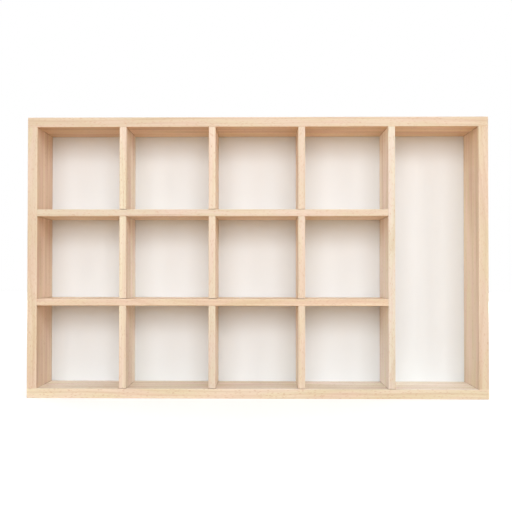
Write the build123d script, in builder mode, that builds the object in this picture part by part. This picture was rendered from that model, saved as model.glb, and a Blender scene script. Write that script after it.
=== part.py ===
"""An open-front beech type case with twelve square cells and one tall bay.

+Z is up and +X runs to the right of someone facing the case, whose open front looks along -Y.
The origin is at the bottom centre of the whole case. All lengths are in millimetres.
"""

import os

from build123d import *

# Cells and bay
cell_columns = 4
cell_rows = 3
cell_width = 72.0
cell_height = 72.0
bay_width = 72.0
inside_depth = 53.0

# Boards
frame_thickness = 8.5
divider_thickness = 6.0
shelf_thickness = 6.0
panel_thickness = 3.0
rear_recess = 4.0
arris_radius = 0.5

# Housings take the ends of dividers and shelves, and stop short of the front edges
housing_depth = 2.0
housing_setback = 8.0
side_gap = 0.1
end_gap = 0.3

# The cut in a divider is a little taller than the shelf that drops into it, and the divider's foot
# stands clear of the bottom rail in front of its housing
halving_gap = 0.4
shoulder_gap = 0.4

# The groove that holds the back panel
groove_depth = 3.0
groove_gap = 0.2
panel_edge_gap = 0.5

# Dowels in the four corner joints
dowel_radius = 2.0
dowel_in_rail = 5.0
dowel_in_side = 13.0
dowel_gap = 0.05
dowel_end_gap = 0.5
dowel_chamfer = 0.5
dowel_inset = 14.0

# Pins through the back panel
pin_radius = 0.6
pin_in_wood = 9.0
pin_point = 0.4
pin_head_radius = 1.3
pin_head_thickness = 0.5
pin_head_round = 0.2

# Keyhole hanger plates
hanger_inset = 50.5
plate_width = 24.0
plate_thickness = 1.0
plate_corner = 2.5
plate_rim = 1.0
plate_foot = 3.0
keyhole_drop = 4.5
keyhole_travel = 7.5
keyhole_entry_radius = 4.0
keyhole_slot_width = 4.2

# Countersunk screws that hold the plates
screw_radius = 1.1
screw_length = 12.0
screw_point = 0.9
screw_pitch = 16.0
screw_cover = 0.5
drive_length = 2.6
drive_width = 0.6
drive_depth = 0.7

# Overall sizes, and the planes that the pieces share
inner_width = cell_columns * (cell_width + divider_thickness) + bay_width
inner_height = cell_rows * cell_height + (cell_rows - 1) * shelf_thickness
case_width = inner_width + 2 * frame_thickness
case_height = inner_height + 2 * frame_thickness
case_depth = inside_depth + panel_thickness + rear_recess
inner_left = -inner_width / 2
floor_z = frame_thickness
ceiling_z = case_height - frame_thickness
front_y = -case_depth / 2
back_y = case_depth / 2
panel_y = front_y + inside_depth
panel_back_y = panel_y + panel_thickness

# Centres of the dividers, from the left, and of the shelves, from below
divider_xs = [
    inner_left + (i + 1) * cell_width + (i + 0.5) * divider_thickness for i in range(cell_columns)
]
shelf_zs = [
    floor_z + (i + 1) * cell_height + (i + 0.5) * shelf_thickness for i in range(cell_rows - 1)
]
bay_divider_x = divider_xs[-1]
shelf_right_x = bay_divider_x - divider_thickness / 2

# Housings run from behind the front edges back to the panel, and halved joints to mid-depth
housing_front_y = front_y + housing_setback
housing_length = panel_y - housing_front_y
housing_mid_y = (housing_front_y + panel_y) / 2
halving_depth = inside_depth / 2

# Dowels stand in the middle of the frame boards' thickness
side_mid_x = (case_width - frame_thickness) / 2
dowel_ys = [front_y + dowel_inset, panel_y - dowel_inset]
dowel_points = [(x, y) for x in (-side_mid_x, side_mid_x) for y in dowel_ys]

# Pins stand in the middle of each free stretch of divider and shelf
cell_xs = [x - (divider_thickness + cell_width) / 2 for x in divider_xs]
cell_zs = [floor_z + cell_height / 2 + i * (cell_height + shelf_thickness) for i in range(cell_rows)]
divider_pins = [(x, z) for x in divider_xs for z in cell_zs]
shelf_pins = [(x, z) for z in shelf_zs for x in cell_xs]

# Hanger plates lie flush in the top rail's back edge and reach down over the recess, and their
# screws pass above the panel's groove
hanger_xs = [hanger_inset - case_width / 2, case_width / 2 - hanger_inset]
screw_head_radius = screw_radius + plate_thickness
screw_z = ceiling_z + groove_depth + screw_cover + screw_radius
plate_top = screw_z + screw_head_radius + plate_rim
keyhole_top = ceiling_z - keyhole_drop
keyhole_entry_z = keyhole_top - keyhole_travel
plate_bottom = keyhole_entry_z - keyhole_entry_radius - plate_foot

os.makedirs("parts", exist_ok=True)


def facing_front(y):
    """The upright plane at y, with its normal towards the front and its sketch axes along X and Z."""
    return Plane.XZ.offset(-y)


def screw_points(hanger_x):
    """The two screw places of the plate at hanger_x."""
    return [(hanger_x - screw_pitch / 2, screw_z), (hanger_x + screw_pitch / 2, screw_z)]


def make_rail(node, outer_z, inward, hangers):
    """A full-width board. Its inner face looks up where inward is 1, and down where it is -1."""
    inner_z = outer_z + inward * frame_thickness
    with BuildPart() as rail:
        with BuildSketch(Plane.XY.offset(outer_z)):
            Rectangle(case_width, case_depth)
        extrude(amount=inward * frame_thickness)
        fillet(edges(), arris_radius)
        # The panel's groove ends inside the joint with each side, out of sight
        with Locations((0, panel_y, inner_z)):
            Box(
                inner_width + 2 * groove_depth,
                panel_thickness + groove_gap,
                2 * groove_depth,
                align=(Align.CENTER, Align.MIN, Align.CENTER),
                mode=Mode.SUBTRACT,
            )
        with Locations(*[(x, housing_mid_y, inner_z) for x in divider_xs]):
            Box(
                divider_thickness + 2 * side_gap,
                housing_length,
                2 * housing_depth,
                mode=Mode.SUBTRACT,
            )
        with BuildSketch(Plane.XY.offset(inner_z)):
            with Locations(*dowel_points):
                Circle(dowel_radius + dowel_gap)
        extrude(amount=-inward * (dowel_in_rail + dowel_end_gap), mode=Mode.SUBTRACT)
        for hanger_x in hangers:
            with Locations((hanger_x, back_y, inner_z)):
                Box(
                    plate_width + 2 * side_gap,
                    2 * plate_thickness,
                    2 * (plate_top + side_gap - inner_z),
                    mode=Mode.SUBTRACT,
                )
            with BuildSketch(facing_front(back_y)):
                with Locations(*screw_points(hanger_x)):
                    Circle(screw_radius)
            extrude(amount=screw_length + end_gap, mode=Mode.SUBTRACT)
    rail.part.label = node
    export_step(rail.part, f"parts/{node}.step")


def make_side(node, middle_x, inward, housings):
    """An upright board between the rails, with a housing for a shelf at each height in housings."""
    inner_x = middle_x + inward * frame_thickness / 2
    with BuildPart() as side:
        with BuildSketch(Plane.XY.offset(floor_z)):
            with Locations((middle_x, 0)):
                Rectangle(frame_thickness, case_depth)
            fillet(vertices(), arris_radius)
            with Locations((inner_x, panel_y)):
                Rectangle(
                    2 * groove_depth,
                    panel_thickness + groove_gap,
                    align=(Align.CENTER, Align.MIN),
                    mode=Mode.SUBTRACT,
                )
        extrude(amount=inner_height)
        for shelf_z in housings:
            with Locations((inner_x, housing_mid_y, shelf_z)):
                Box(
                    2 * housing_depth,
                    housing_length,
                    shelf_thickness + 2 * side_gap,
                    mode=Mode.SUBTRACT,
                )
        for end_z, into in ((floor_z, 1), (ceiling_z, -1)):
            with BuildSketch(Plane.XY.offset(end_z)):
                with Locations(*[(middle_x, y) for y in dowel_ys]):
                    Circle(dowel_radius + dowel_gap)
            extrude(amount=into * (dowel_in_side + dowel_end_gap), mode=Mode.SUBTRACT)
    side.part.label = node
    export_step(side.part, f"parts/{node}.step")


def make_divider(node, middle_x, halved):
    """An upright divider, cut from the front for the shelves if halved, and housing their ends if not."""
    foot_z = floor_z - housing_depth
    head_z = ceiling_z + housing_depth - end_gap
    with BuildPart() as divider:
        with BuildSketch(Plane.XY.offset(foot_z)):
            with Locations((middle_x, front_y)):
                Rectangle(divider_thickness, inside_depth, align=(Align.CENTER, Align.MIN))
            fillet(vertices().group_by(Axis.Y)[0], arris_radius)
        extrude(amount=head_z - foot_z)
        # Shoulders in front of the housings' closed ends
        for face_z, side in ((floor_z + shoulder_gap, Align.MAX), (ceiling_z, Align.MIN)):
            with Locations((middle_x, front_y, face_z)):
                Box(
                    divider_thickness,
                    2 * (housing_setback + end_gap),
                    2 * housing_depth,
                    align=(Align.CENTER, Align.CENTER, side),
                    mode=Mode.SUBTRACT,
                )
        for shelf_z in shelf_zs:
            if halved:
                with Locations((middle_x, front_y, shelf_z - shelf_thickness / 2)):
                    Box(
                        divider_thickness,
                        2 * halving_depth,
                        shelf_thickness + halving_gap,
                        align=(Align.CENTER, Align.CENTER, Align.MIN),
                        mode=Mode.SUBTRACT,
                    )
            else:
                with Locations((middle_x - divider_thickness / 2, housing_mid_y, shelf_z)):
                    Box(
                        2 * housing_depth,
                        housing_length,
                        shelf_thickness + 2 * side_gap,
                        mode=Mode.SUBTRACT,
                    )
        with BuildSketch(facing_front(panel_y)):
            with Locations(*[(x, z) for x, z in divider_pins if x == middle_x]):
                Circle(pin_radius)
        extrude(amount=pin_in_wood + end_gap, mode=Mode.SUBTRACT)
    divider.part.label = node
    export_step(divider.part, f"parts/{node}.step")


def make_shelf(node, middle_z):
    """A shelf, unbroken along its front and cut from the back over each divider that it crosses."""
    left_x = inner_left - housing_depth
    right_x = shelf_right_x + housing_depth - end_gap
    with BuildPart() as shelf:
        with BuildSketch(Plane.YZ.offset(left_x)):
            with Locations((front_y, middle_z)):
                Rectangle(inside_depth, shelf_thickness, align=(Align.MIN, Align.CENTER))
            fillet(vertices().group_by(Axis.X)[0], arris_radius)
        extrude(amount=right_x - left_x)
        for face_x, side in ((inner_left, Align.MAX), (shelf_right_x, Align.MIN)):
            with Locations((face_x, front_y, middle_z)):
                Box(
                    2 * housing_depth,
                    2 * (housing_setback + end_gap),
                    shelf_thickness,
                    align=(side, Align.CENTER, Align.CENTER),
                    mode=Mode.SUBTRACT,
                )
        with Locations(*[(x, panel_y, middle_z) for x in divider_xs[:-1]]):
            Box(
                divider_thickness + 2 * side_gap,
                2 * halving_depth,
                shelf_thickness,
                mode=Mode.SUBTRACT,
            )
        with BuildSketch(facing_front(panel_y)):
            with Locations(*[(x, z) for x, z in shelf_pins if z == middle_z]):
                Circle(pin_radius)
        extrude(amount=pin_in_wood + end_gap, mode=Mode.SUBTRACT)
    shelf.part.label = node
    export_step(shelf.part, f"parts/{node}.step")


def make_hanger_plate(node, middle_x):
    """A steel plate with two countersunk holes, and a keyhole that drops over a screw in the wall."""
    with BuildPart() as plate:
        with BuildSketch(facing_front(back_y)):
            with Locations((middle_x, (plate_top + plate_bottom) / 2)):
                RectangleRounded(plate_width, plate_top - plate_bottom, plate_corner)
            with Locations((middle_x, keyhole_entry_z)):
                Circle(keyhole_entry_radius, mode=Mode.SUBTRACT)
            with Locations((middle_x, (keyhole_entry_z + keyhole_top) / 2)):
                SlotCenterToCenter(
                    keyhole_travel, keyhole_slot_width, rotation=90, mode=Mode.SUBTRACT
                )
        extrude(amount=plate_thickness)
        with BuildSketch(facing_front(back_y)):
            with Locations(*screw_points(middle_x)):
                Circle(screw_head_radius)
        extrude(amount=plate_thickness, taper=45, mode=Mode.SUBTRACT)
    plate.part.label = node
    export_step(plate.part, f"parts/{node}.step")


# The frame
make_rail("bottom_rail", 0, 1, [])
make_rail("top_rail", case_height, -1, hanger_xs)
make_side("left_side", -side_mid_x, 1, shelf_zs)
make_side("right_side", side_mid_x, -1, [])

# The lattice
for number, middle_x in enumerate(divider_xs[:-1], start=1):
    make_divider(f"divider_{number}", middle_x, True)
make_divider("bay_divider", bay_divider_x, False)
for number, middle_z in enumerate(shelf_zs, start=1):
    make_shelf(f"shelf_{number}", middle_z)

# The back panel, held in the frame's groove and pinned to the lattice
panel_inset = groove_depth - panel_edge_gap
with BuildPart() as back_panel:
    with BuildSketch(facing_front(panel_back_y)):
        with Locations((0, case_height / 2)):
            Rectangle(inner_width + 2 * panel_inset, inner_height + 2 * panel_inset)
        with Locations(*divider_pins, *shelf_pins):
            Circle(pin_radius, mode=Mode.SUBTRACT)
    extrude(amount=panel_thickness)
back_panel.part.label = "back_panel"
export_step(back_panel.part, "parts/back_panel.step")

# Two dowels in each corner joint
with BuildPart() as corner_dowels:
    with BuildSketch(Plane.XY.offset(floor_z - dowel_in_rail), Plane.XY.offset(ceiling_z - dowel_in_side)):
        with Locations(*dowel_points):
            Circle(dowel_radius)
    extrude(amount=dowel_in_rail + dowel_in_side)
    chamfer(edges().filter_by(GeomType.CIRCLE), dowel_chamfer)
corner_dowels.part.label = "corner_dowels"
export_step(corner_dowels.part, "parts/corner_dowels.step")

# Flat-headed pins, driven from the back
with BuildPart() as panel_pins:
    with BuildSketch(facing_front(panel_back_y)):
        with Locations(*divider_pins, *shelf_pins):
            Circle(pin_radius)
    extrude(amount=panel_thickness + pin_in_wood)
    chamfer(edges().filter_by(GeomType.CIRCLE).group_by(Axis.Y)[0], pin_point)
    with BuildSketch(facing_front(panel_back_y)):
        with Locations(*divider_pins, *shelf_pins):
            Circle(pin_head_radius)
    extrude(amount=-pin_head_thickness)
    fillet(edges().filter_by(GeomType.CIRCLE).group_by(Axis.Y)[-1], pin_head_round)
panel_pins.part.label = "panel_pins"
export_step(panel_pins.part, "parts/panel_pins.step")

# Hanger plates
make_hanger_plate("hanger_plate_left", hanger_xs[0])
make_hanger_plate("hanger_plate_right", hanger_xs[1])

# Countersunk screws with a plain cross recess
hanger_screw_points = [point for hanger_x in hanger_xs for point in screw_points(hanger_x)]
with BuildPart() as hanger_screws:
    with BuildSketch(facing_front(back_y)):
        with Locations(*hanger_screw_points):
            Circle(screw_head_radius)
    extrude(amount=plate_thickness, taper=45)
    with BuildSketch(facing_front(back_y - plate_thickness)):
        with Locations(*hanger_screw_points):
            Circle(screw_radius)
    extrude(amount=screw_length - plate_thickness)
    chamfer(edges().filter_by(GeomType.CIRCLE).group_by(Axis.Y)[0], screw_point)
    with BuildSketch(facing_front(back_y)):
        with Locations(*hanger_screw_points):
            Rectangle(drive_length, drive_width)
            Rectangle(drive_width, drive_length)
    extrude(amount=drive_depth, mode=Mode.SUBTRACT)
hanger_screws.part.label = "hanger_screws"
export_step(hanger_screws.part, "parts/hanger_screws.step")
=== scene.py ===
# %% [markdown]
# # A beech type case, dressed for its portrait
# The case arrives as sixteen finished pieces: boards, a back panel, dowels, pins, plates and screws.
# Their shapes are right already, so this lesson is about surfaces and light: how a plain board comes
# to look like beech, and how a soft lamp shows the depth of the cells.

import math

import bpy
from mathutils import Euler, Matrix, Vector


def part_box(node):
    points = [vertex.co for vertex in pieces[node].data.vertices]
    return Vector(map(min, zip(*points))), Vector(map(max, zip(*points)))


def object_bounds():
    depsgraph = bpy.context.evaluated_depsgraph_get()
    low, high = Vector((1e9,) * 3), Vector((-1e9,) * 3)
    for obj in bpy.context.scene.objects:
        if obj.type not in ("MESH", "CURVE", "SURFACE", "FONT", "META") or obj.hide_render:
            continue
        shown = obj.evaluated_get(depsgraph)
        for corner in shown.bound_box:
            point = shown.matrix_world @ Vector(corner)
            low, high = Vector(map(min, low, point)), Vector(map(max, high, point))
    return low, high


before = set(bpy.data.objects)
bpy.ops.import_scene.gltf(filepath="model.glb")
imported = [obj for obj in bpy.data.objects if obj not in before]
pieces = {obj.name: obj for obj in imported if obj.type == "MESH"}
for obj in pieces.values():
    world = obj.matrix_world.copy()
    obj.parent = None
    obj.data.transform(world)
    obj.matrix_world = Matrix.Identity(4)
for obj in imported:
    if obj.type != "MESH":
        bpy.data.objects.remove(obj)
case_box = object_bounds()
mm = 0.001
case_low, case_high = case_box
case_middle = (case_low + case_high) / 2
case_size = case_high - case_low
print("pieces:", len(pieces))
print("case, in mm:", [round(side / mm, 1) for side in case_size])

# %% [markdown]
# ## The camera
# The portrait is taken from straight in front. The lens is a little to the right of the case's middle
# and a little below it, so each cell shows a sliver of the walls that face the lens. A camera could be
# aimed with a Track To constraint, but three plain angles are easier to read and to change. The lens
# is slightly longer than a normal one: it stands far enough off that the outer cells aren't seen too
# steeply, and near enough that all the cells show how deep they are. A small shift of the lens slides
# the picture in its frame without turning the camera.

# %% Place the camera
right_of_middle, before_front, below_middle = 3.9 * mm, 720.9 * mm, 14.0 * mm
level, tilt_up, roll, turn_left = 90.0, 0.887, -0.048, 1.014
camera_data = bpy.data.cameras.new("portrait_camera")
camera_data.sensor_width = 36.0
camera_data.lens = 58.33
camera_data.shift_x = 0.0183
camera_data.shift_y = 0.0094
camera = bpy.data.objects.new("portrait_camera", camera_data)
camera.location = (
    case_middle.x + right_of_middle,
    case_low.y - before_front,
    case_middle.z - below_middle,
)
camera.rotation_euler = [math.radians(angle) for angle in (level + tilt_up, roll, turn_left)]
bpy.context.scene.collection.objects.link(camera)
bpy.context.scene.camera = camera
print("camera to front edges, in mm:", round((case_low.y - camera.location.y) / mm))

# %% [markdown]
# ## The light
# A pale wooden case needs very plain light. The room itself gives an even glow, and one large soft lamp
# stands behind the camera. Its upper half makes the soft shadow under each shelf, and its lower half,
# near the floor, shines in under the shelves and keeps that shadow light. A small lamp would draw hard
# lines there, and a glow without a lamp would leave the cells flat. A weaker lamp on each side lights
# the walls of the cells. Two more stand behind the case, one to each side, so that its back and its
# two ends are lit about as plainly as its front. The lens sees a white room, and so does the sheen of
# wood and steel, but the soft light that falls on the case is the dimmer glow.

# %% Add and join shader nodes


def add_node(tree, kind, inputs=None, **settings):
    """Adds a shader node, sets its options, and links or fills its inputs by name or number."""
    node = tree.nodes.new("ShaderNode" + kind)
    for name, value in settings.items():
        setattr(node, name, value)
    for name, value in (inputs or {}).items():
        if isinstance(value, bpy.types.NodeSocket):
            tree.links.new(value, node.inputs[name])
        else:
            node.inputs[name].default_value = value
    return node


def calculate(tree, operation, *values, clamp=False):
    """A Math node on up to three numbers or sockets, as its output socket."""
    inputs = dict(enumerate(values))
    return add_node(tree, "Math", inputs, operation=operation, use_clamp=clamp).outputs[0]


def largest(tree, first, second, third):
    """The largest of three numbers or sockets."""
    return calculate(tree, "MAXIMUM", calculate(tree, "MAXIMUM", first, second), third)


def lit_but_seen(tree, lighting, seen):
    """Lights the case as the first shader, and looks to the lens and in reflections as the second."""
    ray = add_node(tree, "LightPath").outputs
    looked_at = largest(tree, ray["Is Camera Ray"], ray["Is Glossy Ray"], ray["Is Transmission Ray"])
    inputs = {0: looked_at, 1: lighting.outputs[0], 2: seen.outputs[0]}
    return add_node(tree, "MixShader", inputs).outputs[0]


# %% Fill the room with an even glow
room_glow, backdrop_white = 0.4, 1.0
white = (1.0, 1.0, 1.0, 1.0)
world = bpy.data.worlds.new("studio_room")
world.use_nodes = True
tree = world.node_tree
tree.nodes.clear()
glow = add_node(tree, "Background", {"Color": white, "Strength": room_glow})
backdrop = add_node(tree, "Background", {"Color": white, "Strength": backdrop_white})
add_node(tree, "OutputWorld", {"Surface": lit_but_seen(tree, glow, backdrop)})
bpy.context.scene.world = world
bpy.context.scene.view_settings.view_transform = "Standard"
print("room glow:", room_glow)

# %% Hang the lamps


def hang_lamp(name, place, width, height, watts):
    """A soft lamp of a size in metres, turned from its place towards the middle of the case."""
    lamp_data = bpy.data.lights.new(name, "AREA")
    lamp_data.shape = "RECTANGLE"
    lamp_data.size = width
    lamp_data.size_y = height
    lamp_data.energy = watts
    lamp = bpy.data.objects.new(name, lamp_data)
    lamp.location = place
    lamp.rotation_euler = (case_middle - Vector(place)).to_track_quat("-Z", "Y").to_euler()
    bpy.context.scene.collection.objects.link(lamp)
    print(name, "at", place, "with", watts, "W")


hang_lamp("key_lamp", place=(0.0, -2.14, 0.64), width=1.9, height=1.2, watts=32.9)
hang_lamp("side_lamp_left", place=(-1.56, -1.31, 0.94), width=1.1, height=0.6, watts=4.4)
hang_lamp("side_lamp_right", place=(1.56, -1.31, 0.94), width=1.1, height=0.6, watts=9.3)
hang_lamp("rear_lamp_left", place=(-1.7, 1.7, 0.62), width=2.2, height=1.1, watts=24.0)
hang_lamp("rear_lamp_right", place=(1.7, 1.7, 0.62), width=2.2, height=1.1, watts=24.0)

# %% [markdown]
# ## The floor
# The case stands on a wide pale sheet that runs out of sight. To the lens the sheet is about as white
# as the room behind it, and only the case's own soft shadow shows on it. A little light of its own,
# which shows to the lens and in reflections alone, keeps the sheet white. It grows with distance, so
# no horizon shows. A curved sweep of paper would hide the horizon too, but a flat sheet needs no
# modelling. What the sheet throws back on the case is warm instead, as it would be from a wooden
# table, and that gives the undersides of the boards their glow.

# %% Start a material, mix its colours and find a point's place


def empty_material(name):
    """A new material with nothing in its node tree yet."""
    material = bpy.data.materials.new(name)
    material.use_nodes = True
    material.node_tree.nodes.clear()
    return material


def mix_colours(tree, amount, first, second, blend="MIX"):
    """A Mix node on two colours, as its output socket."""
    inputs = {0: amount, 6: first, 7: second}
    return add_node(tree, "Mix", inputs, data_type="RGBA", blend_type=blend).outputs[2]


def mix_numbers(tree, amount, first, second):
    """A Mix node on two numbers, as its output socket."""
    return add_node(tree, "Mix", {0: amount, 2: first, 3: second}, data_type="FLOAT").outputs[0]


def object_place(tree):
    """Where a point lies on a piece, in metres, in the frame that all the pieces share."""
    return add_node(tree, "TexCoord").outputs["Object"]


def vector_math(tree, operation, *vectors):
    """A Vector Math node on one or two vectors or sockets, as its output socket."""
    node = add_node(tree, "VectorMath", dict(enumerate(vectors)), operation=operation)
    return node.outputs["Value" if operation in ("LENGTH", "DOT_PRODUCT") else "Vector"]


# %% Lay the floor
floor_width = 8.0
bpy.ops.object.select_all(action="DESELECT")
bpy.ops.mesh.primitive_plane_add(size=floor_width, location=(0, 0, 0))
floor = bpy.context.object
floor.name = "floor_sheet"
print("floor, in m:", floor_width)

# %% Paint the sheet
sheet_dull, sheet_pale = (0.78, 0.78, 0.78, 1.0), (0.82, 0.82, 0.82, 1.0)
mottles_per_metre, mottle_detail = 9.0, 3.0
floor_throw = (0.54, 0.29, 0.09, 1.0)
lift_near, lift_far = 0.45, 0.8
near_distance, far_distance = 0.7, 1.7
floor_paint = empty_material("floor_paint")
tree = floor_paint.node_tree
ground = object_place(tree)
mottle = add_node(
    tree, "TexNoise", {"Vector": ground, "Scale": mottles_per_metre, "Detail": mottle_detail}
).outputs["Fac"]
sheet = add_node(tree, "BsdfDiffuse", {"Color": mix_colours(tree, mottle, sheet_dull, sheet_pale)})
lift_range = {
    "Value": vector_math(tree, "LENGTH", ground),
    "From Min": near_distance,
    "From Max": far_distance,
    "To Min": lift_near,
    "To Max": lift_far,
}
lift_strength = add_node(tree, "MapRange", lift_range).outputs[0]
lift = add_node(tree, "Emission", {"Color": white, "Strength": lift_strength})
lifted = add_node(tree, "AddShader", {0: sheet.outputs[0], 1: lift.outputs[0]})
thrown = add_node(tree, "BsdfDiffuse", {"Color": floor_throw})
add_node(tree, "OutputMaterial", {"Surface": lit_but_seen(tree, thrown, lifted)})
floor.data.materials.append(floor_paint)
print("painted the sheet with", len(tree.nodes), "nodes")

# %% [markdown]
# ## Beech, as a block of wood
# A board is cut from a log, and every face of it shows the same growth rings from another side. So
# the wood is painted in three dimensions: rings are tubes round the log's heart, fibres run along it,
# and rays run outwards from it. Any board is then a block sawn from that log. Seen along the heart it
# shows arcs, seen from outside it shows the short dark ticks that mark beech, and seen from the side
# it shows broader, fainter flakes. A flat picture wrapped round each board could not join up at the
# edges.

# %% Saw a block from the log
grain_turn = {"x": (0.0, math.radians(-90), 0.0), "z": (0.0, 0.0, 0.0)}
grain_axis = {"x": 0, "z": 2}
log_length_per_seed = 900.0


def log_coordinates(tree, board, grain, heart, seed):
    """Places on a board in mm, with Z along the grain and the log's heart on the Z axis."""
    low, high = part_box(board)
    turn = Euler(grain_turn[grain])
    middle = (low + high) / 2 / mm
    middle.rotate(turn)
    distance, bearing = heart
    angle = math.radians(bearing)
    heart_place = Vector((math.cos(angle), math.sin(angle), 0)) * distance
    shift = heart_place - middle + Vector((0, 0, log_length_per_seed * seed))
    inputs = {
        "Vector": object_place(tree),
        "Location": shift,
        "Rotation": turn,
        "Scale": (1 / mm,) * 3,
    }
    return add_node(tree, "Mapping", inputs).outputs[0]


print("blocks lie apart in their logs, in mm:", log_length_per_seed)

# %% Make soft noise and soft steps


def noise(tree, place, size, detail, seed=0.0, output="Fac"):
    """Soft noise around a half. Its blotches are size across in x, y and z, in units of the place."""
    inputs = {"Vector": place, "Location": (seed,) * 3, "Scale": [1 / side for side in size]}
    scaled = add_node(tree, "Mapping", inputs).outputs[0]
    settings = {"Vector": scaled, "Scale": 1.0, "Detail": detail}
    return add_node(tree, "TexNoise", settings).outputs[output]


def step_between(tree, value, start, end, low=0.0, high=1.0):
    """A soft step from low, where value is start, to high, where it is end."""
    inputs = {"Value": value, "From Min": start, "From Max": end, "To Min": low, "To Max": high}
    return add_node(tree, "MapRange", inputs, interpolation_type="SMOOTHSTEP").outputs[0]


def parts_of(tree, vector):
    """The x, y and z of a vector, as three output sockets."""
    return add_node(tree, "SeparateXYZ", {0: vector}).outputs


# %% Walk round the heart of the log
wander_size, wander_detail, wander_seed = (38.0, 38.0, 170.0), 1.0, 4.0
wander_reach = (9.0, 9.0, 0.0)
half_way = (0.5, 0.5, 0.5)


def wandering(tree, place):
    """The place, pushed about by up to a few mm, so that rings and fibres aren't ruled lines."""
    slow = noise(tree, place, wander_size, wander_detail, wander_seed, "Color")
    push = vector_math(tree, "SUBTRACT", slow, half_way)
    push = vector_math(tree, "MULTIPLY", push, wander_reach)
    return vector_math(tree, "ADD", place, push)


def polar(tree, place, heart_distance):
    """Where a place lies round the heart: across the rays, outwards, and along the grain, in mm."""
    parts = parts_of(tree, place)
    flat = add_node(tree, "CombineXYZ", {0: parts[0], 1: parts[1]}).outputs[0]
    outwards = vector_math(tree, "LENGTH", flat)
    angle = calculate(tree, "ARCTAN2", parts[1], parts[0])
    across = calculate(tree, "MULTIPLY", angle, heart_distance)
    return add_node(tree, "CombineXYZ", {0: across, 1: outwards, 2: parts[2]}).outputs[0], outwards


print("fibres wander by up to, in mm:", wander_reach[0] * half_way[0])

# %% Grow the rings
climate_per_mm, climate_swing, climate_detail = 0.11, 2.6, 2.0
summer_start, year_end = 0.45, 0.93


def growth_rings(tree, outwards, ring_width):
    """0 in the pale spring wood, rising to 1 in the thin dark line that ends each year."""
    climate = calculate(tree, "MULTIPLY", outwards, climate_per_mm)
    inputs = {"W": climate, "Scale": 1.0, "Detail": climate_detail}
    uneven = add_node(tree, "TexNoise", inputs, noise_dimensions="1D").outputs["Fac"]
    years = calculate(tree, "DIVIDE", outwards, ring_width)
    years = calculate(tree, "MULTIPLY_ADD", uneven, climate_swing, years)
    year = calculate(tree, "FRACT", years)
    rise = step_between(tree, year, summer_start, year_end)
    fall = step_between(tree, year, year_end, 1.0, 1.0, 0.0)
    return calculate(tree, "MULTIPLY", rise, fall)


print("a year begins to darken at this share of its ring:", summer_start)

# %% Grow the rays
ray_size = (0.7, 9.0, 4.2)
ray_core, ray_rim = 0.16, 0.34
no_ray, full_ray = 0.25, 0.5


def ray_flecks(tree, round_heart):
    """1 on the thin blades of ray tissue: ticks from outside the log and flakes from the side."""
    inputs = {"Vector": round_heart, "Scale": tuple(1 / side for side in ray_size)}
    cells = add_node(tree, "Mapping", inputs).outputs[0]
    blades = add_node(tree, "TexVoronoi", {"Vector": cells, "Scale": 1.0, "Randomness": 1.0}).outputs
    blade = step_between(tree, blades["Distance"], ray_core, ray_rim, 1.0, 0.0)
    lot = add_node(tree, "SeparateColor", {0: blades["Color"]}).outputs[0]
    chosen = step_between(tree, lot, no_ray, full_ray)
    return calculate(tree, "MULTIPLY", blade, chosen)


print("a ray is, round, out and along, in mm:", ray_size)

# %% [markdown]
# ## From grain to colour
# Planed beech is pale, slightly pink and a touch uneven: it drifts a little along each board, the end
# of each year is darker, and the rays are darker still. The narrow edges have a calmer and slightly
# darker tone than the wide faces, and that difference is painted light and shade: the front edges,
# which face the lamp, are painted darker, and the faces, which lie mostly in the shade of the cells,
# paler. A colour is found in steps, each on top of the one before: how dark the grain is, the tone of
# that board, a blush of straw or rose, and the rays. One ramp from pale to dark would be shorter, but
# then edges and faces would have to match.

# %% Shade the grain
ring_mark, band_mark, fibre_mark, drift_mark = 0.38, 1.2, 0.95, 0.6
band_size, band_detail, band_seed = (26.0, 9.0, 240.0), 2.0, 7.0
fibre_size, fibre_detail, fibre_seed = (1.5, 1.5, 55.0), 3.0, 2.0
drift_size, drift_detail, drift_seed = (60.0, 60.0, 75.0), 0.0, 11.0
plain_shade = 0.12
noise_middle = 0.5


def grain_shade(tree, block, round_heart, rings):
    """0 in the palest wood and 1 in the darkest: the rings, and three kinds of streaks on them."""
    band = noise(tree, round_heart, band_size, band_detail, band_seed)
    fibre = noise(tree, block, fibre_size, fibre_detail, fibre_seed)
    drift = noise(tree, block, drift_size, drift_detail, drift_seed)
    shade = calculate(tree, "MULTIPLY", rings, ring_mark)
    for mark, layer in ((band_mark, band), (fibre_mark, fibre), (drift_mark, drift)):
        centred = calculate(tree, "SUBTRACT", layer, noise_middle)
        shade = calculate(tree, "MULTIPLY_ADD", centred, mark, shade)
    return calculate(tree, "ADD", shade, plain_shade, clamp=True)


print("shade of wood with no streaks:", plain_shade)

# %% Give edges and faces their tones, with painted light and shade
# Painted light and shade: the front edges face the lamp and get the calmer, darker tones; the wide faces
# lie mostly in the cells' shade and get the paler ones.
lit_edge_tones = (0.765, 0.645, 0.513), (0.635, 0.471, 0.335)
shaded_face_tones = (0.98, 0.83, 0.675), (0.605, 0.405, 0.265)
facing_aside, facing_square = 0.3, 0.9


def tinted(tone, tint):
    """A tone, multiplied by a tint."""
    return [part * factor for part, factor in zip(tone, tint)] + [1.0]


def edge_share(tree, facing):
    """1 on the narrow edges at the front and back of the case, and 0 on what looks another way."""
    return step_between(tree, calculate(tree, "ABSOLUTE", facing[1]), facing_aside, facing_square)


def board_colour(tree, shade, on_edge, edge_look, face_look):
    """Pale or dark wood, by its shade, in the tints of one board's edges and faces, whose tones carry
    painted light and shade.
    """
    pale, dark = (
        mix_colours(tree, on_edge, tinted(face, face_look[:3]), tinted(edge, edge_look[:3]))
        for face, edge in zip(shaded_face_tones, lit_edge_tones)
    )
    return mix_colours(tree, shade, pale, dark)


print("palest edge and palest face:", lit_edge_tones[0], shaded_face_tones[0])

# %% Fade a board along its length, as painted light
low_end, high_end = -0.5, 0.5


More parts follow.
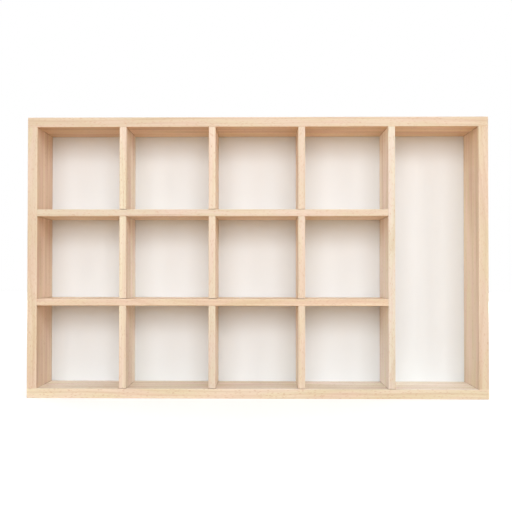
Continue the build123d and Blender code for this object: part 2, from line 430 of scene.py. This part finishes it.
def painted_light_fading(tree, board, axis, colour, on_edge, edge_fade, face_fade):
    """Painted light: the colour, a little paler towards one end of the board and darker towards the
    other.
    """
    low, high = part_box(board)
    along = parts_of(tree, object_place(tree))[axis]
    way = step_between(tree, along, low[axis], high[axis], low_end, high_end)
    fade = calculate(tree, "MULTIPLY_ADD", on_edge, edge_fade - face_fade, face_fade)
    paler = calculate(tree, "MULTIPLY_ADD", way, fade, 1.0)
    return add_node(tree, "VectorMath", {0: colour, "Scale": paler}, operation="SCALE").outputs[0]


print("fading from end to end, as shares of the whole:", low_end, high_end)

# %% Add the blush
straw_cast, rose_cast = (0.982, 1.012, 0.96, 1.0), (1.015, 0.988, 1.03, 1.0)
blush_size, blush_detail, blush_seed = (7.0, 7.0, 45.0), 1.0, 5.0
straw_end, rose_end = 0.3, 0.7


def blushing(tree, block, colour):
    """The colour, cast now towards straw and now towards rose."""
    blush = noise(tree, block, blush_size, blush_detail, blush_seed)
    rosy = step_between(tree, blush, straw_end, rose_end)
    cast = mix_colours(tree, rosy, straw_cast, rose_cast)
    return mix_colours(tree, 1.0, colour, cast, "MULTIPLY")


print("straw and rose:", straw_cast[:3], rose_cast[:3])

# %% Add the rays
fleck_tone = (0.56, 0.34, 0.2, 1.0)
quarter_sawn, flat_sawn = 0.2, 0.9
faint_fleck, plain_fleck = 0.2, 0.85
across_grain = (1.0, 1.0, 0.0)


def seen_from_outside(tree, block, normal):
    """1 where a face looks away from the heart, as on a flat-sawn board, and 0 on a quarter-sawn one."""
    outwards = vector_math(tree, "MULTIPLY", block, across_grain)
    outwards = vector_math(tree, "NORMALIZE", outwards)
    return calculate(tree, "ABSOLUTE", vector_math(tree, "DOT_PRODUCT", outwards, normal))


def flecked(tree, block, grain, normal, colour, flecks):
    """The colour with its rays: plain on flat-sawn faces and faint on quarter-sawn ones."""
    inputs = {"Vector": normal, "Rotation": Euler(grain_turn[grain])}
    log_normal = add_node(tree, "Mapping", inputs, vector_type="VECTOR").outputs[0]
    outside = seen_from_outside(tree, block, log_normal)
    amount = step_between(tree, outside, quarter_sawn, flat_sawn, faint_fleck, plain_fleck)
    return mix_colours(tree, calculate(tree, "MULTIPLY", flecks, amount), colour, fleck_tone)


print("flecks on flat-sawn and quarter-sawn faces:", plain_fleck, faint_fleck)

# %% [markdown]
# ## Joints, arrises and sawn ends
# What shows that a case was made from parts is how its parts end. Where two pieces meet, a hair-fine
# dark line is painted along the joint: partly the joint itself and partly painted shade, the shadow
# that falls into the corner there. It is worked out from the boxes of the neighbouring pieces, so it
# stays right if a board changes its size, and a drawn line would not. The sawn ends drink more light
# than the faces, because there one looks into the open fibres. The arrises are eased by hand with
# fine paper, which polishes them a little.

# %% Find the joints
boards = (
    "top_rail bottom_rail left_side right_side divider_1 divider_2 divider_3 bay_divider "
    "shelf_1 shelf_2"
).split()
neighbours = boards + ["back_panel"]
touching_gap = 0.1 * mm


def touching(node):
    """The boxes of the boards and the panel that touch a piece."""
    low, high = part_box(node)
    return [
        (least, most)
        for least, most in (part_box(other) for other in neighbours if other != node)
        if all(
            least[i] < high[i] + touching_gap and low[i] < most[i] + touching_gap for i in range(3)
        )
    ]


for board in boards:
    print(board, "touches", len(touching(board)), "of the other boards and the panel")

# %% Shade the joints
# The tone of the painted shade in the joints, and how far it reaches off a neighbouring piece.
joint_shadow_tone = (0.5, 0.4, 0.3, 1.0)
joint_shadow_start, joint_shadow_end = 0.1 * mm, 0.6 * mm
patch_size, patch_detail, patch_seed = (14 * mm,) * 3, 2.0, 13.0
tight_patch, open_patch, tight_share = 0.38, 0.6, 0.3
far_away = 1.0


def outside_box(tree, place, low, high):
    """How far a place lies outside a box, and less than 0 inside it."""
    from_middle = vector_math(tree, "SUBTRACT", place, (low + high) / 2)
    from_middle = vector_math(tree, "ABSOLUTE", from_middle)
    return largest(tree, *parts_of(tree, vector_math(tree, "SUBTRACT", from_middle, (high - low) / 2)))


def painted_joint_shadow(tree, node, strength):
    """Painted shade, up to a strength, in the hair-fine joint where a piece meets another, and 0 just
    beside it.
    """
    place = object_place(tree)
    nearest = far_away
    for low, high in touching(node):
        nearest = calculate(tree, "MINIMUM", outside_box(tree, place, low, high), nearest)
    shadow_line = step_between(tree, nearest, joint_shadow_start, joint_shadow_end, 1.0, 0.0)
    patchy = noise(tree, place, patch_size, patch_detail, patch_seed)
    opened = step_between(tree, patchy, tight_patch, open_patch, tight_share * strength, strength)
    return calculate(tree, "MULTIPLY", shadow_line, opened)


print("a joint's shadow ends off the neighbour, in mm:", round(joint_shadow_end / mm, 1))

# %% Ease the arrises and darken the sawn ends
arris_width = 0.9 * mm
arris_tone, arris_share = (1.0, 0.86, 0.7, 1.0), 0.12
end_tint, end_share = (0.84, 0.77, 0.69, 1.0), 0.75
end_start, end_full = 0.6, 0.95
axis_pairs = ((0, 1), (1, 2), (0, 2))


def near_edge(tree, board):
    """1 on the eased arrises of a board and 0 on its faces, from how near two faces are at once."""
    low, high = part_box(board)
    from_middle = vector_math(tree, "SUBTRACT", object_place(tree), (low + high) / 2)
    from_middle = vector_math(tree, "ABSOLUTE", from_middle)
    inside = parts_of(tree, vector_math(tree, "SUBTRACT", (high - low) / 2, from_middle))
    near = [step_between(tree, side, 0.0, arris_width, 1.0, 0.0) for side in inside]
    arrises = [calculate(tree, "MULTIPLY", near[first], near[second]) for first, second in axis_pairs]
    return largest(tree, *arrises)


def worked(tree, colour, end_grain, arris):
    """The colour, darker where the grain is sawn across and a little paler on the arrises."""
    ends = calculate(tree, "MULTIPLY", end_grain, end_share)
    colour = mix_colours(tree, ends, colour, end_tint, "MULTIPLY")
    return mix_colours(tree, calculate(tree, "MULTIPLY", arris, arris_share), colour, arris_tone)


print("arrises, in mm:", round(arris_width / mm, 1))

# %% Set the gloss of wood
planed_roughness, pore_roughness, end_roughness, arris_polish = 0.54, 0.16, 0.16, -0.08


def wood_roughness(tree, pores, end_grain, arris):
    """Planed wood with its pores, rougher on sawn ends and smoother on arrises."""
    roughness = calculate(tree, "MULTIPLY_ADD", pores, pore_roughness, planed_roughness)
    roughness = calculate(tree, "MULTIPLY_ADD", end_grain, end_roughness, roughness)
    return calculate(tree, "MULTIPLY_ADD", arris, arris_polish, roughness)


print("roughness of planed wood:", planed_roughness)

# %% Make a surface and coat pieces with it


def surface(tree, colour, roughness, height, bump_strength, bump_depth, metallic=0.0):
    """Makes one surface of a colour, a roughness and a fine relief, and shows it."""
    relief = {"Height": height, "Strength": bump_strength, "Distance": bump_depth}
    bump = add_node(tree, "Bump", relief).outputs[0]
    inputs = {"Base Color": colour, "Metallic": metallic, "Roughness": roughness, "Normal": bump}
    shader = add_node(tree, "BsdfPrincipled", inputs).outputs[0]
    add_node(tree, "OutputMaterial", {"Surface": shader})


def coat(names, material):
    """Gives pieces a material in place of the plain one they came with."""
    for name in names:
        pieces[name].data.materials.clear()
        pieces[name].data.materials.append(material)
    print("coated", ", ".join(names), "with", len(material.node_tree.nodes), "nodes")


# %% Put the wood together
joint_shadow_strength = 0.75
pore_size, pore_detail, pore_seed = (0.22, 0.22, 5.0), 2.0, 3.0
fleck_height = -0.5
pore_bump, pore_depth = 0.35, 0.05 * mm


def paint_beech(board, grain, heart, ring_width, seed, edge_look, face_look):
    """Gives a board its own piece of beech. A look is a tint, and how much paler the far end is: partly
    the board's own tone and partly painted light and shade.
    """
    material = empty_material("beech_" + board)
    tree = material.node_tree
    block = wandering(tree, log_coordinates(tree, board, grain, heart, seed))
    round_heart, outwards = polar(tree, block, heart[0])
    shade = grain_shade(tree, block, round_heart, growth_rings(tree, outwards, ring_width))
    flecks = ray_flecks(tree, round_heart)

    normal = add_node(tree, "TexCoord").outputs["Normal"]
    facing = parts_of(tree, normal)
    on_edge = edge_share(tree, facing)
    axis = grain_axis[grain]
    colour = board_colour(tree, shade, on_edge, edge_look, face_look)
    colour = painted_light_fading(tree, board, axis, colour, on_edge, edge_look[3], face_look[3])
    colour = blushing(tree, block, colour)
    colour = flecked(tree, block, grain, normal, colour, flecks)

    end_grain = step_between(tree, calculate(tree, "ABSOLUTE", facing[axis]), end_start, end_full)
    arris = near_edge(tree, board)
    colour = worked(tree, colour, end_grain, arris)
    # Painted shade: a hair-fine dark line where this board meets its neighbours, partly the joint and
    # partly the shade in its corner; the front edges are left out.
    on_face = calculate(tree, "SUBTRACT", 1.0, on_edge)
    joint = calculate(tree, "MULTIPLY", painted_joint_shadow(tree, board, joint_shadow_strength), on_face)
    colour = mix_colours(tree, joint, colour, joint_shadow_tone, "MULTIPLY")

    pores = noise(tree, block, pore_size, pore_detail, pore_seed)
    roughness = wood_roughness(tree, pores, end_grain, arris)
    height = calculate(tree, "MULTIPLY_ADD", flecks, fleck_height, pores)
    surface(tree, colour, roughness, height, pore_bump, pore_depth)
    coat([board], material)


# %% [markdown]
# ## Ten boards from different logs
# No two boards match: each has its own distance and bearing from the heart of its log, its own ring
# width, and a slightly paler or warmer tone. These tints are partly the boards' own tone and partly
# painted light and shade: the top rail, of which the front shows mostly the shaded underside, is
# painted darker and warmer, and the bottom rail, whose top catches the light, paler. The last number
# of each look says by what share the board grows paler from its left or lower end to the other, and
# that fade is painted light: a board shown lighter where more light falls on it. The grain of the
# rails and shelves runs along X and that of the uprights along Z, always down the length of the
# board, because wood is strong along its grain. The dowels are turned from the same wood, cut far
# from the heart, where the rings are nearly straight. One wood for all would be quicker, but real
# boards never match so well.

# %% Paint the frame
# Painted shade: the top rail's faces are darker and warmer, for the shaded underside that the front
# shows.
paint_beech(
    "top_rail",
    "x",
    heart=(74.0, 62.0),
    ring_width=2.3,
    seed=1,
    edge_look=(0.91, 0.91, 0.89, 0.03),
    face_look=(0.94, 0.83, 0.71, 0.12),
)
# Painted light: the bottom rail's faces are paler, for the lit top of the rail.
paint_beech(
    "bottom_rail",
    "x",
    heart=(88.0, 118.0),
    ring_width=2.0,
    seed=2,
    edge_look=(1.02, 1.06, 1.03, -0.07),
    face_look=(1.04, 1.13, 1.20, 0.0),
)
paint_beech(
    "left_side",
    "z",
    heart=(66.0, 100.0),
    ring_width=2.6,
    seed=3,
    edge_look=(0.95, 0.96, 0.94, -0.11),
    face_look=(0.90, 0.84, 0.81, 0.06),
)
paint_beech(
    "right_side",
    "z",
    heart=(95.0, 76.0),
    ring_width=2.1,
    seed=4,
    edge_look=(0.92, 0.92, 0.89, 0.02),
    face_look=(0.92, 0.91, 0.88, 0.10),
)

# %% Paint the uprights
paint_beech(
    "divider_1",
    "z",
    heart=(80.0, 55.0),
    ring_width=2.2,
    seed=5,
    edge_look=(1.04, 1.10, 1.12, -0.05),
    face_look=(1.02, 1.08, 1.15, 0.02),
)
paint_beech(
    "divider_2",
    "z",
    heart=(70.0, 110.0),
    ring_width=2.4,
    seed=6,
    edge_look=(0.98, 1.01, 1.04, 0.12),
    face_look=(1.00, 1.00, 1.00, 0.06),
)
paint_beech(
    "divider_3",
    "z",
    heart=(92.0, 80.0),
    ring_width=1.9,
    seed=7,
    edge_look=(0.97, 0.99, 1.00, -0.08),
    face_look=(1.00, 1.01, 1.03, 0.06),
)
paint_beech(
    "bay_divider",
    "z",
    heart=(84.0, 95.0),
    ring_width=2.5,
    seed=8,
    edge_look=(0.99, 1.09, 1.18, 0.0),
    face_look=(1.03, 1.11, 1.22, 0.10),
)

# %% Paint the shelves and dowels
paint_beech(
    "shelf_1",
    "x",
    heart=(78.0, 85.0),
    ring_width=2.2,
    seed=9,
    edge_look=(0.98, 0.95, 0.90, 0.06),
    face_look=(1.00, 0.97, 0.93, 0.0),
)
paint_beech(
    "shelf_2",
    "x",
    heart=(90.0, 104.0),
    ring_width=2.0,
    seed=10,
    edge_look=(0.94, 0.96, 0.98, 0.07),
    face_look=(0.96, 0.92, 0.85, 0.0),
)
paint_beech(
    "corner_dowels",
    "z",
    heart=(260.0, 90.0),
    ring_width=2.2,
    seed=11,
    edge_look=(1.0, 1.0, 1.0, 0.0),
    face_look=(0.95, 0.93, 0.90, 0.0),
)

# %% [markdown]
# ## The back panel
# The back is thin fibreboard. Its front is painted matt white, and the roller leaves a faint dimpled
# skin. Its back is the raw brown board, pressed against a wire screen while it was wet, so a fine
# mesh is printed in it. Both finishes are on one piece, and the depth of a point in the panel says
# which of the two it shows. Two separate sheets would look the same and be harder to keep together.

# %% Paint the front of the panel
paint_tones = (0.775, 0.825, 0.865, 1.0), (0.795, 0.845, 0.885, 1.0)
cloud_size, cloud_detail, cloud_seed = (45.0,) * 3, 2.0, 5.0
paint_start, paint_end = 0.15, 0.3


def place_in_mm(tree):
    """Where a point lies on a piece, in mm, in the frame that all the pieces share."""
    inputs = {"Vector": object_place(tree), "Scale": (1 / mm,) * 3}
    return add_node(tree, "Mapping", inputs).outputs[0]


def painted_share(tree, place):
    """1 in the coat of paint on the front of the panel, and 0 in the board behind it."""
    low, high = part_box("back_panel")
    depth = parts_of(tree, place)[1]
    front = low.y / mm
    return step_between(tree, depth, front + paint_start, front + paint_end, 1.0, 0.0)


def white_paint(tree, place):
    """White paint that is a touch whiter in some places than in others."""
    return mix_colours(tree, noise(tree, place, cloud_size, cloud_detail, cloud_seed), *paint_tones)


print("the paint ends below the face, in mm:", paint_start, "to", paint_end)

# %% Leave the back of the panel raw
raw_tones = (0.22, 0.125, 0.062, 1.0), (0.42, 0.26, 0.14, 1.0)
stain_tone, stain_share = (0.30, 0.19, 0.11, 1.0), 0.5
stain_size, stain_detail, stain_seed = (60.0,) * 3, 3.0, 9.0
screen_pitch, screen_shade, screen_share = 1.1, (0.16, 0.09, 0.045, 1.0), 0.3
bend_size, bend_detail, bend_reach = (9.0,) * 3, 1.0, (0.8, 0.8, 0.8)
wire_low, wire_high = -0.9, 0.6


def screen_print(tree, place):
    """0 where the wires of the screen pressed least and 1 where they pressed most."""
    bends = noise(tree, place, bend_size, bend_detail, output="Color")
    bent = vector_math(tree, "ADD", place, vector_math(tree, "MULTIPLY", bends, bend_reach))
    wires = parts_of(tree, bent)
    waves = [
        calculate(tree, "SINE", calculate(tree, "MULTIPLY", wire, 2 * math.pi / screen_pitch))
        for wire in (wires[0], wires[2])
    ]
    return step_between(tree, calculate(tree, "MULTIPLY", *waves), wire_low, wire_high)


def raw_board(tree, place, fibres, pressed):
    """Brown fibres with stains, darker where the screen pressed."""
    colour = mix_colours(tree, fibres, *raw_tones)
    stains = noise(tree, place, stain_size, stain_detail, stain_seed)
    colour = mix_colours(tree, calculate(tree, "MULTIPLY", stains, stain_share), colour, stain_tone)
    return mix_colours(tree, calculate(tree, "MULTIPLY", pressed, screen_share), colour, screen_shade)


print("wires of the screen, in mm:", screen_pitch)

# %% Put the panel together
dimple_size, dimple_detail, dimple_seed = (1.4,) * 3, 2.0, 8.0
raw_fibre_size, raw_fibre_detail, raw_fibre_seed = (0.5,) * 3, 3.0, 1.0
screen_height, dimple_height = -1.0, 0.12
raw_roughness, paint_smoothness, dimple_roughness = 0.88, -0.3, 0.06
panel_joint_shadow_strength = 0.15
panel_bump, panel_depth = 0.6, 0.15 * mm


def paint_panel():
    """Gives the back panel its painted face and its raw one."""
    material = empty_material("painted_fibreboard")
    tree = material.node_tree
    place = place_in_mm(tree)
    painted = painted_share(tree, place)
    dimples = noise(tree, place, dimple_size, dimple_detail, dimple_seed)
    fibres = noise(tree, place, raw_fibre_size, raw_fibre_detail, raw_fibre_seed)
    pressed = screen_print(tree, place)

    raw = raw_board(tree, place, fibres, pressed)
    colour = mix_colours(tree, painted, raw, white_paint(tree, place))
    # Painted shade: a faint hair-fine dark line where the boards meet the panel, partly the joint and
    # partly the shade in its corner.
    joint = painted_joint_shadow(tree, "back_panel", panel_joint_shadow_strength)
    colour = mix_colours(tree, joint, colour, joint_shadow_tone, "MULTIPLY")

    raw_relief = calculate(tree, "MULTIPLY_ADD", pressed, screen_height, fibres)
    paint_relief = calculate(tree, "MULTIPLY", dimples, dimple_height)
    height = mix_numbers(tree, painted, raw_relief, paint_relief)
    roughness = calculate(tree, "MULTIPLY_ADD", painted, paint_smoothness, raw_roughness)
    roughness = calculate(tree, "MULTIPLY_ADD", dimples, dimple_roughness, roughness)
    surface(tree, colour, roughness, height, panel_bump, panel_depth)
    coat(["back_panel"], material)


paint_panel()

# %% [markdown]
# ## Plated steel
# The hanger plates are stamped from rolled sheet and plated with zinc, which is bright, a little blue
# and never quite even. The screws have the same coat, and the pins are plain bright wire. Each gets a
# fine drawn texture: the plates along the direction of rolling, and the round things all over. A
# perfect mirror would look like plastic foil at this size.

# %% Make bright steel
bloom_size, bloom_detail, bloom_seed = (4.0,) * 3, 3.0, 2.0
bloom_start, bloom_full, bloom_roughness = 0.35, 0.65, 0.12
mark_detail, mark_seed, mark_roughness = 2.0, 6.0, 0.18
mark_bump, mark_depth = 0.25, 0.02 * mm


def paint_steel(names, tones, mark_size, roughness):
    """Gives steel pieces a bright coat with fine marks, whose size in x, y and z is in mm."""
    material = empty_material("steel_" + names[0])
    tree = material.node_tree
    place = place_in_mm(tree)
    bloom = noise(tree, place, bloom_size, bloom_detail, bloom_seed)
    marks = noise(tree, place, mark_size, mark_detail, mark_seed)
    colour = mix_colours(tree, step_between(tree, bloom, bloom_start, bloom_full), *tones)
    rough = calculate(tree, "MULTIPLY_ADD", marks, mark_roughness, roughness)
    rough = calculate(tree, "MULTIPLY_ADD", bloom, bloom_roughness, rough)
    surface(tree, colour, rough, marks, mark_bump, mark_depth, metallic=1.0)
    coat(names, material)


# %% Plate the plates, screws and pins
zinc = (0.62, 0.64, 0.67, 1.0), (0.46, 0.47, 0.49, 1.0)
bright_wire = (0.64, 0.63, 0.61, 1.0), (0.46, 0.45, 0.43, 1.0)
plates = ["hanger_plate_left", "hanger_plate_right"]
paint_steel(plates, zinc, mark_size=(9.0, 0.2, 0.2), roughness=0.26)
paint_steel(["hanger_screws"], zinc, mark_size=(0.3, 0.3, 0.3), roughness=0.22)
paint_steel(["panel_pins"], bright_wire, mark_size=(0.25, 0.25, 0.25), roughness=0.26)
